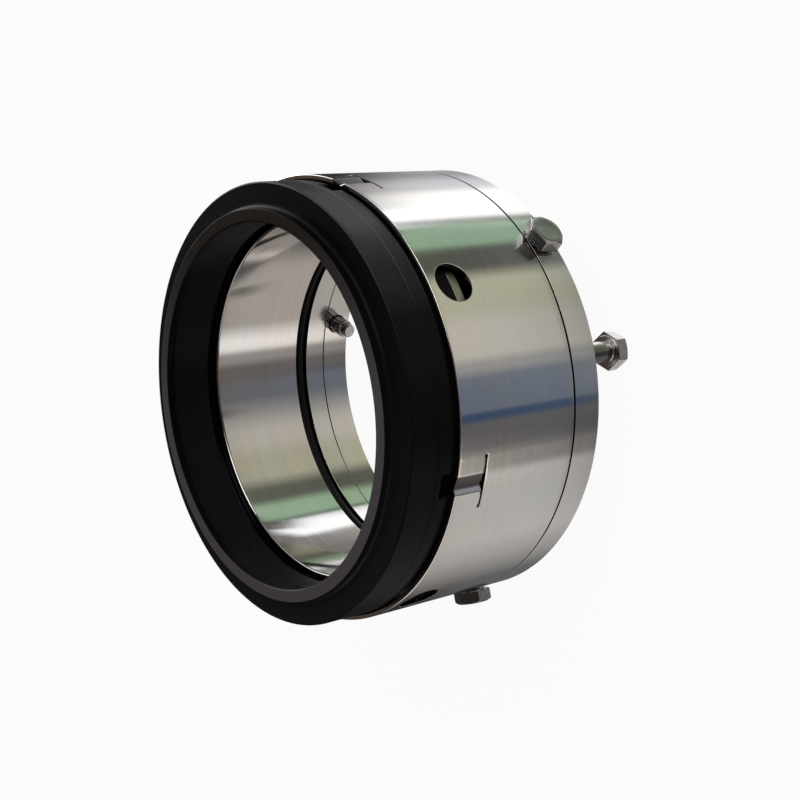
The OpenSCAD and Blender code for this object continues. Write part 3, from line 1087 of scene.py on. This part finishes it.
def spring_wire():
    """Drawn spring wire with fine length marks."""
    tree = Tree("spring_wire")
    cloud = tree.noise(tree.place, 300, 4)
    grain = tree.noise(tree.place, 2500, 3)
    tree.set(
        Metallic=1.0,
        Base_Color=tree.mix(tree.span(cloud, 0.35, 0.65), *WIRE_STEEL),
        Roughness=tree.span(grain, 0.3, 0.7, 0.22, 0.38))
    tree.bump(grain, 0.2, 0.00001)
    return tree.material


# Surroundings

CAMERA_PLACE = (0.44051, 0.0349, 0.36228)
CAMERA_RIGHT = (0.62469, -0.09929, -0.77454)
CAMERA_UP = (0.0065, 0.99251, -0.12199)
CAMERA_LENS = 63.798

# What the steel mirrors: name, from and to angle about Z in degrees, colour. The far cards are
# for the outside, the low ones for the bore, the near ones for edges and for faces towards the
# camera, and the last two rows lie straight over and under the part.
FAR_CARDS = [
    ("dark doorway", -180, -132, (0.14, 0.14, 0.14)),
    ("pale wall", -90, -49.5, (0.67, 0.645, 0.625)),
    ("wall base", -45, -37, (0.28, 0.26, 0.25)),
    ("brown cloth", -33, -20, (0.155, 0.15, 0.165)),
    ("blue stripe", -19, -15.5, (0.03, 0.075, 0.18)),
    ("blue cloth", -14, 3, (0.175, 0.21, 0.28)),
    ("grey edge", 7.5, 10, (0.43, 0.42, 0.42)),
    ("pale bench", 14.5, 30, (0.74, 0.71, 0.64)),
    ("olive curtain", 40, 55, (0.64, 0.64, 0.49)),
    ("dark gap", 62, 75, (0.11, 0.115, 0.10)),
    ("green screen", 78, 88, (0.38, 0.55, 0.39)),
    ("lit green edge", 91.5, 93.8, (0.62, 0.80, 0.62)),
    ("dark frame", 94.4, 96.8, (0.03, 0.035, 0.03)),
    ("soft box", 97.2, 120, (1.75, 1.75, 1.75)),
    ("bright wall", 128, 134, (0.9, 0.9, 0.95)),
    ("grey wall", 150, 158, (0.42, 0.42, 0.43)),
]
LOW_CARDS = [
    ("dark corner", -180, -138, (0.03, 0.03, 0.03)),
    ("pale wall", -100, -54, (0.50, 0.46, 0.43)),
    ("window light", -42, -37, (1.25, 1.18, 1.12)),
    ("window sill", -33, -29, (0.42, 0.39, 0.37)),
    ("brown cloth", -24, -18, (0.19, 0.17, 0.16)),
    ("blue cloth", -12, -3, (0.18, 0.19, 0.21)),
    ("pale bench", 20, 28, (0.62, 0.575, 0.51)),
    ("olive curtain", 38, 52, (0.52, 0.51, 0.385)),
    ("dark gap", 61, 69, (0.14, 0.15, 0.12)),
    ("green screen", 74.5, 86.5, (0.40, 0.58, 0.38)),
    ("dark frame", 87.0, 88.6, (0.03, 0.03, 0.03)),
    ("soft box", 89.2, 104.5, (1.55, 1.55, 1.55)),
    ("grey wall", 106, 130, (0.24, 0.225, 0.215)),
    ("dark corner", 146, 160, (0.03, 0.03, 0.03)),
]
NEAR_CARDS = [
    ("dark bench", -180, -125, (0.05, 0.042, 0.038)),
    ("high window", -106, -46, (1.2, 1.17, 1.14)),
    ("warm bench", -34, 72, (0.16, 0.115, 0.09)),
    ("ceiling lamp", 84, 118, (0.95, 0.95, 0.98)),
    ("white door", 138, 168, (3.2, 3.2, 3.2)),
    ("dark bench", 176, 179, (0.05, 0.042, 0.038)),
]
HIGH_CARDS = [
    ("brown bench", -180, -160, (0.08, 0.058, 0.048)),
    ("photographer", -125, 140, (0.037, 0.031, 0.030)),
    ("brown bench", 170, 179, (0.08, 0.058, 0.048)),
]
UNDER_CARDS = [
    ("pale crate", -180, -119, (0.85, 0.84, 0.83)),
    ("dark shelf", -117.5, -30, (0.06, 0.054, 0.05)),
    ("grey floor", -6, 8, (0.27, 0.28, 0.28)),
    ("dark mat", 30, 45, (0.14, 0.14, 0.13)),
    ("grey wall", 70, 95, (0.35, 0.36, 0.35)),
    ("pale wall", 112, 122, (0.62, 0.65, 0.68)),
    ("lamp", 130, 165, (2.4, 2.4, 2.35)),
    ("pale crate", 175, 179, (0.85, 0.84, 0.83)),
]
UNDER_TO_FAR = (-0.735, -0.715)
FAR_TO_LOW = (-0.635, -0.60)
LOW_TO_NEAR = (-0.30, -0.05)
NEAR_TO_HIGH = (0.38, 0.52)
FILL_LIGHT = (0.5, 0.5, 0.5)
WHITE = (1, 1, 1)
FLOOR_HALF = 3
FLOOR_PAINT = (0.8, 0.8, 0.8)
FLOOR_GLOW = 0.93
KEY_PLACE = (0.5, 0.75, 0.9)
KEY_TARGET = (0, 0, 0.02)
KEY_SIZE = 0.9
KEY_WATTS = 5


def make_camera():
    """The camera at the photograph's place and lens."""
    data = bpy.data.cameras.new("photo_camera")
    data.lens = CAMERA_LENS
    data.clip_start, data.clip_end = 0.01, 20
    camera = bpy.data.objects.new("photo_camera", data)
    right, up = Vector(CAMERA_RIGHT), Vector(CAMERA_UP)
    place = Matrix((right, up, right.cross(up))).transposed().to_4x4()
    place.translation = CAMERA_PLACE
    camera.matrix_world = place
    bpy.context.scene.collection.objects.link(camera)
    bpy.context.scene.camera = camera


def make_key():
    """A soft square lamp that points at the middle of the part."""
    data = bpy.data.lights.new("key", "AREA")
    data.size = KEY_SIZE
    data.energy = KEY_WATTS
    lamp = bpy.data.objects.new("key", data)
    lamp.location = KEY_PLACE
    lamp.rotation_mode = "QUATERNION"
    lamp.rotation_quaternion = (Vector(KEY_TARGET) - Vector(KEY_PLACE)).to_track_quat("-Z", "Y")
    bpy.context.scene.collection.objects.link(lamp)


def floor_material():
    """Matt pale paint that is white to the camera."""
    material = bpy.data.materials.new("pale_floor")
    tree = Nodes(material)
    tree.nodes.clear()
    paint = tree.add("BsdfDiffuse")
    tree.put((*FLOOR_PAINT, 1), paint.inputs["Color"])
    glow = tree.add("Emission")
    seen = tree.times(tree.add("LightPath").outputs["Is Camera Ray"], FLOOR_GLOW)
    blend = tree.add("MixShader")
    tree.put_all((seen, paint.outputs[0], glow.outputs[0]), blend.inputs)
    tree.put(blend.outputs[0], tree.add("OutputMaterial").inputs["Surface"])
    return material


def make_floor():
    """A wide pale floor that keeps the part's shadow."""
    half, height = FLOOR_HALF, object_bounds()[0].z
    corners = [(-half, -half, height), (half, -half, height), (half, half, height), (-half, half, height)]
    mesh = bpy.data.meshes.new("floor")
    mesh.from_pydata(corners, [], [(0, 1, 2, 3)])
    mesh.materials.append(floor_material())
    floor = bpy.data.objects.new("floor", mesh)
    bpy.context.scene.collection.objects.link(floor)
    floor.visible_glossy = False


def card_row(tree, turn, cards):
    """The cards' colours round the part, blended where they leave a gap."""
    ramp = tree.add("ValToRGB")
    tree.put(turn, ramp.inputs[0])
    stops = ramp.color_ramp.elements
    stops.remove(stops[1])
    ends = [(angle / 360 + 0.5, colour) for _, start, end, colour in cards for angle in (start, end)]
    for i, (share, colour) in enumerate(ends):
        stop = stops.new(share) if i else stops[0]
        stop.position = share
        stop.color = (*colour, 1)
    return ramp.outputs[0]


def make_world():
    """White to the camera, a neutral fill to matt surfaces, and the cards to mirroring ones."""
    world = bpy.data.worlds.new("studio")
    bpy.context.scene.world = world
    world.cycles.sampling_method = "NONE"
    tree = Nodes(world)
    tree.nodes.clear()
    x, y, z = tree.split(tree.add("TexCoord").outputs["Generated"])
    turn = tree.math("ADD", tree.math("DIVIDE", tree.math("ARCTAN2", y, x), FULL), 0.5)
    cards = card_row(tree, turn, UNDER_CARDS)
    for heights, row in ((UNDER_TO_FAR, FAR_CARDS), (FAR_TO_LOW, LOW_CARDS),
                         (LOW_TO_NEAR, NEAR_CARDS), (NEAR_TO_HIGH, HIGH_CARDS)):
        cards = tree.mix(tree.span(z, *heights), cards, card_row(tree, turn, row))
    rays = tree.add("LightPath").outputs
    mirrored = tree.math("MAXIMUM", rays["Is Glossy Ray"], rays["Is Transmission Ray"])
    lit = tree.mix(mirrored, FILL_LIGHT, cards)
    background = tree.add("Background")
    tree.put(tree.mix(rays["Is Camera Ray"], lit, WHITE), background.inputs["Color"])
    tree.put(background.outputs[0], tree.add("OutputWorld").inputs["Surface"])


# The part

def dress(piece, material, body, slot, *nodes):
    """Gives a piece its finish and its body, and hides the CAD nodes that it stands for."""
    shade(piece)
    piece.data.materials.clear()
    piece.data.materials.append(material)
    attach(piece, body)
    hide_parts(*nodes)


def main():
    """Builds every piece, gives it its finish and its body, and hides the CAD nodes that it stands for;
    the thrust ring and the drive pins keep their CAD meshes and only get a new finish.
    """
    steel = turned_steel("turned_steel", STEEL, 0.08, 0.12)
    bore_steel = turned_steel("bore_steel", BORE_STEEL, 0.08, 0.125)
    # A darker copy of the turned steel for the parts inside the chamber: painted shade
    shaded_thrust_steel = turned_steel("thrust_steel_shaded", THRUST_STEEL_SHADED, 0.2, 0.3)
    # A darker copy of the screw steel for the set screws: painted shade
    shaded_set_steel = screw_steel("set_screw_steel_shaded", SET_STEEL_SHADED)
    axial_steel = screw_steel("axial_screw_steel", AXIAL_STEEL, (AXIAL_SEAT_Z + 0.8) * MM)
    carbide, rubber, wire = black_carbide(), black_rubber(), spring_wire()

    dress(make_drive_ring(), steel, "sleeve_unit", "steel", "drive_ring")
    dress(make_housing(), bore_steel, "sleeve_unit", "steel", "housing")
    dress(make_shell(), steel, "sleeve_unit", "steel", "shell")
    dress(make_face_ring(), carbide, "face_unit", "carbide", "face_ring")
    shaft_ring = make_rubber_ring("shaft_ring_moulded", SHAFT_RING_OUT, SHAFT_RING_Z, SHAFT_CORD)
    dress(shaft_ring, rubber, "sleeve_unit", "rubber", "shaft_o_ring")
    face_cord = make_rubber_ring("face_cord_moulded", FACE_CORD_OUT, FACE_CORD_Z, FACE_CORD)
    dress(face_cord, rubber, "face_unit", "rubber", "face_o_ring")
    for i, turn in enumerate(around(THIRDS, SET_A), 1):
        bolt = make_set_screw(f"set_screw_bolt_{i}", turn, SET_TURNS[i - 1])
        dress(bolt, shaded_set_steel, f"set_screw_{i}", "screw_steel", f"set_screw_{i}")
    for i, turn in enumerate(around(THIRDS, AXIAL_A), 1):
        bolt = make_axial_screw(f"axial_screw_bolt_{i}", turn)
        dress(bolt, axial_steel, "sleeve_unit", "screw_steel", f"axial_screw_{i}")
    for i, turn in enumerate(around(SPRINGS, SPRING_A), 1):
        spring = make_spring(f"spring_coil_{i:02}", turn)
        dress(spring, wire, "sleeve_unit", "spring_steel", f"spring_{i:02}")
        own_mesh(spring)
    for name in ("thrust_ring", "drive_pin_1", "drive_pin_2", "drive_pin_3"):
        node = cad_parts[name]
        node.data.materials.clear()
        node.data.materials.append(shaded_thrust_steel)


make_camera()
main()
make_floor()
make_world()
make_key()
bpy.context.scene.view_settings.view_transform = "Standard"
